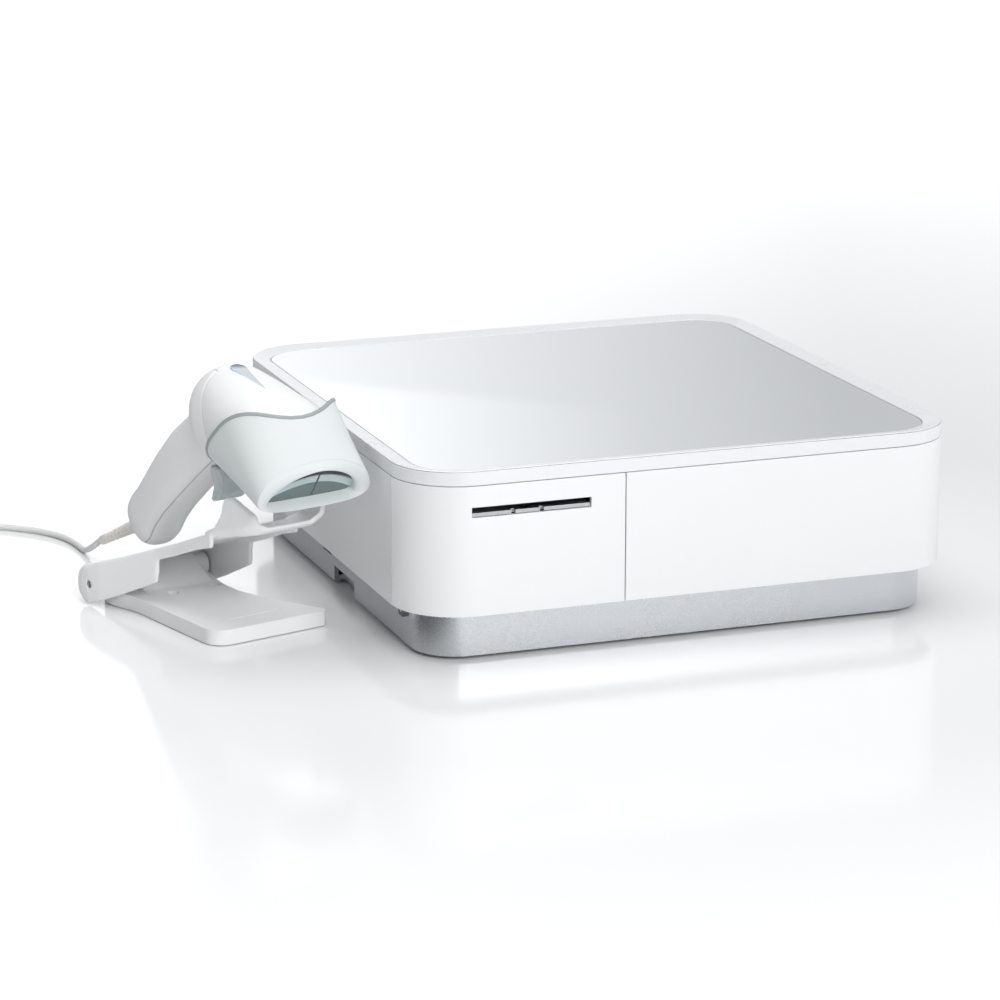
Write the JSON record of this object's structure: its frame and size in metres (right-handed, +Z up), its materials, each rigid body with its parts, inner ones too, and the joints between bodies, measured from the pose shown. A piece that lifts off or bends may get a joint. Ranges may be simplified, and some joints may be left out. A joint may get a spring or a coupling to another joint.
{
  "type": "receipt printer cash drawer base with barcode scanner",
  "caption": "Low counter-top box joining a receipt printer and a cash drawer, with a tethered gun-shaped barcode scanner resting in a small tilting stand.",
  "frame": {"origin": "middle of the box's flat top, 98 mm above the counter", "axes": "+X to the right, +Y to the back, +Z up; the drawer opens toward -Y"},
  "size_m": [0.489, 0.3397, 0.1374],
  "materials": {
    "white_plastic": "satin white moulding",
    "gloss_white": "glossy white sheet",
    "silver_paint": "satin silver paint",
    "grey_rubber": "soft-touch light grey",
    "black_rubber": "matte black rubber",
    "steel": "bare sheet steel",
    "black_plastic": "matte black",
    "grey_plastic": "matte grey",
    "nylon": "natural nylon",
    "circuit_board": "green solder mask",
    "paper": "thermal paper",
    "dark_glass": "dark tinted window",
    "blue_grey_lens": "pale blue-grey"
  },
  "bodies": {
    "base_unit": {"plinth": "silver_paint", "foot_left_front": "black_rubber", "foot_left_rear": "black_rubber", "foot_right_front": "black_rubber", "foot_right_rear": "black_rubber", "chassis_plate": "steel", "body_shell": "white_plastic", "top_rim": "white_plastic", "deck_plate": "gloss_white", "partition": "steel", "hinge_pin_left": "steel", "hinge_pin_right": "steel", "idler_pin": "steel", "print_head": "nylon", "head_heatsink": "steel", "printer_frame": "grey_plastic", "feed_motor": "steel", "main_board": "circuit_board", "dc_jack": "black_plastic", "usb_a_port": "black_plastic", "usb_b_port": "black_plastic", "drawer_rail_left": "nylon", "drawer_rail_right": "nylon", "latch_solenoid": "steel", "latch_pin": "steel", "ejector_spring": "steel"},
    "cover": {"printer_cover": "white_plastic", "platen_holder": "grey_plastic", "tear_bar": "steel"},
    "platen": {"platen_roller": "black_rubber", "platen_gear": "nylon"},
    "idler": {"idler_gear": "nylon"},
    "motor_shaft": {"motor_pinion": "nylon"},
    "roll": {"paper_roll": "paper", "paper_core": "grey_plastic"},
    "power_key": {"power_button": "grey_plastic"},
    "pairing_key": {"pairing_button": "grey_plastic"},
    "drawer": {"drawer_front": "white_plastic", "drawer_box": "grey_plastic", "coin_tray": "grey_plastic", "bill_divider_1": "grey_plastic", "bill_divider_2": "grey_plastic"},
    "plunger": {"solenoid_plunger": "steel"},
    "hook": {"latch_hook": "steel"},
    "stand": {"stand_base": "white_plastic", "stand_pad": "black_rubber", "stand_pin": "steel", "scanner_cable": "white_plastic", "usb_plug": "white_plastic"},
    "arm": {"stand_arm": "white_plastic"},
    "scanner": {"nose_boot": "grey_rubber", "head_cover": "white_plastic", "scanner_grip": "white_plastic", "scan_window": "dark_glass", "light_bar": "blue_grey_lens", "sensor_module": "black_plastic", "scanner_board": "circuit_board", "indicator_lens": "blue_grey_lens", "strain_relief": "grey_rubber"},
    "trigger_key": {"trigger": "blue_grey_lens"}
  },
  "joints": [
    {"name": "drawer_slide", "type": "slide", "parent": "base_unit", "child": "drawer", "axis": [0, -1, 0], "range_m": [0, 0.17]},
    {"name": "cover_hinge", "type": "hinge", "parent": "base_unit", "child": "cover", "pos_m": [-0.095, -0.122, -0.074], "axis": [1, 0, 0], "range_deg": [0, 38]},
    {"name": "platen_spin", "type": "hinge", "parent": "cover", "child": "platen", "pos_m": [-0.126, -0.138, -0.029], "axis": [1, 0, 0], "continuous": true},
    {"name": "idler_spin", "type": "hinge", "parent": "base_unit", "child": "idler", "pos_m": [-0.126, -0.12427, -0.0242], "axis": [1, 0, 0], "continuous": true},
    {"name": "motor_spin", "type": "hinge", "parent": "base_unit", "child": "motor_shaft", "pos_m": [-0.126, -0.1165, -0.03456], "axis": [1, 0, 0], "continuous": true},
    {"name": "roll_spin", "type": "hinge", "parent": "base_unit", "child": "roll", "pos_m": [-0.0875, -0.089, -0.044], "axis": [1, 0, 0], "continuous": true},
    {"name": "power_press", "type": "slide", "parent": "base_unit", "child": "power_key", "axis": [0, -1, 0], "range_m": [0, 0.0018]},
    {"name": "pairing_press", "type": "slide", "parent": "base_unit", "child": "pairing_key", "axis": [0, -1, 0], "range_m": [0, 0.0012]},
    {"name": "plunger_pull", "type": "slide", "parent": "base_unit", "child": "plunger", "axis": [1, 0, 0], "range_m": [0, 0.0025]},
    {"name": "hook_swing", "type": "hinge", "parent": "base_unit", "child": "hook", "pos_m": [0.0482, 0.118, -0.051], "axis": [0, 0, -1], "range_deg": [0, 11.93]},
    {"name": "stand_shift", "type": "slide", "parent": "base_unit", "child": "stand", "axis": [-1, 0, 0], "range_m": [0, 0.1]},
    {"name": "arm_tilt", "type": "hinge", "parent": "stand", "child": "arm", "pos_m": [-0.23739, 0.02489, -0.0865], "axis": [-0.9613, -0.2756, 0], "range_deg": [-8, 8]},
    {"name": "scanner_lift", "type": "slide", "parent": "arm", "child": "scanner", "axis": [0, 0, 1], "range_m": [0, 0.12]},
    {"name": "trigger_pull", "type": "hinge", "parent": "scanner", "child": "trigger_key", "pos_m": [-0.2111, -0.03415, -0.0175], "axis": [0.9613, 0.2756, 0], "range_deg": [0, 5]}
  ],
  "couplings": [
    {"joint": "idler_spin", "follows": "platen_spin", "ratio": -0.8},
    {"joint": "motor_spin", "follows": "platen_spin", "ratio": 1.3333},
    {"joint": "hook_swing", "follows": "plunger_pull", "rad_per_m": 83.3}
  ]
}
